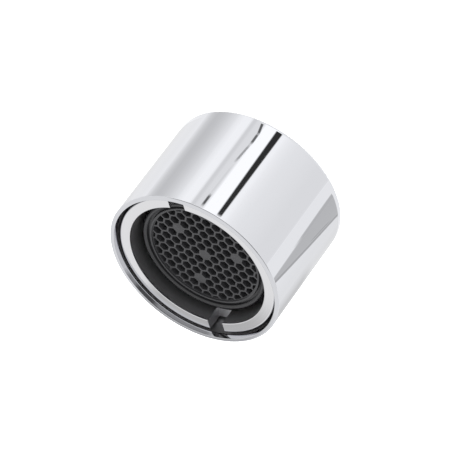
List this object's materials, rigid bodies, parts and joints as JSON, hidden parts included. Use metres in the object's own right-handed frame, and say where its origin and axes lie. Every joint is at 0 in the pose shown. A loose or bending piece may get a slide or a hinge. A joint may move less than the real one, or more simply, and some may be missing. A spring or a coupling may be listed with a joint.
{
  "type": "tap aerator",
  "caption": "Cylindrical chromed tap aerator: a free-turning sleeve over a threaded body with key slots, and a black insert whose honeycomb outlet straightens the aerated water.",
  "frame": {"origin": "on the axis, in the plane of the inlet rim that it stands on", "axes": "+Z along the axis from the inlet to the outlet, +X through one of the two key slots"},
  "size_m": [0.025, 0.025, 0.0172],
  "materials": {
    "chromed_sleeve": "bright chrome plate on brass",
    "chromed_body": "bright chrome plate on turned brass",
    "spring_steel": "drawn wire",
    "washer_rubber": "moulded",
    "filter_plastic": "moulded",
    "jet_plastic": "moulded",
    "black_plastic": "moulded, satin",
    "screen_steel": "pierced stainless sheet",
    "comb_plastic": "moulded, satin"
  },
  "bodies": {
    "body": {"threaded_body": "chromed_body", "snap_ring": "spring_steel", "sealing_washer": "washer_rubber", "inlet_filter": "filter_plastic", "jet_plate": "jet_plastic", "insert_jacket": "black_plastic", "upper_screen": "screen_steel", "screen_spacer": "black_plastic", "lower_screen": "screen_steel", "honeycomb_outlet": "comb_plastic"},
    "sleeve": {"outer_sleeve": "chromed_sleeve"}
  },
  "joints": [
    {"name": "sleeve_spin", "type": "hinge", "parent": "body", "child": "sleeve", "pos_m": [0, 0, 0.00863], "axis": [0, 0, 1], "continuous": true}
  ]
}
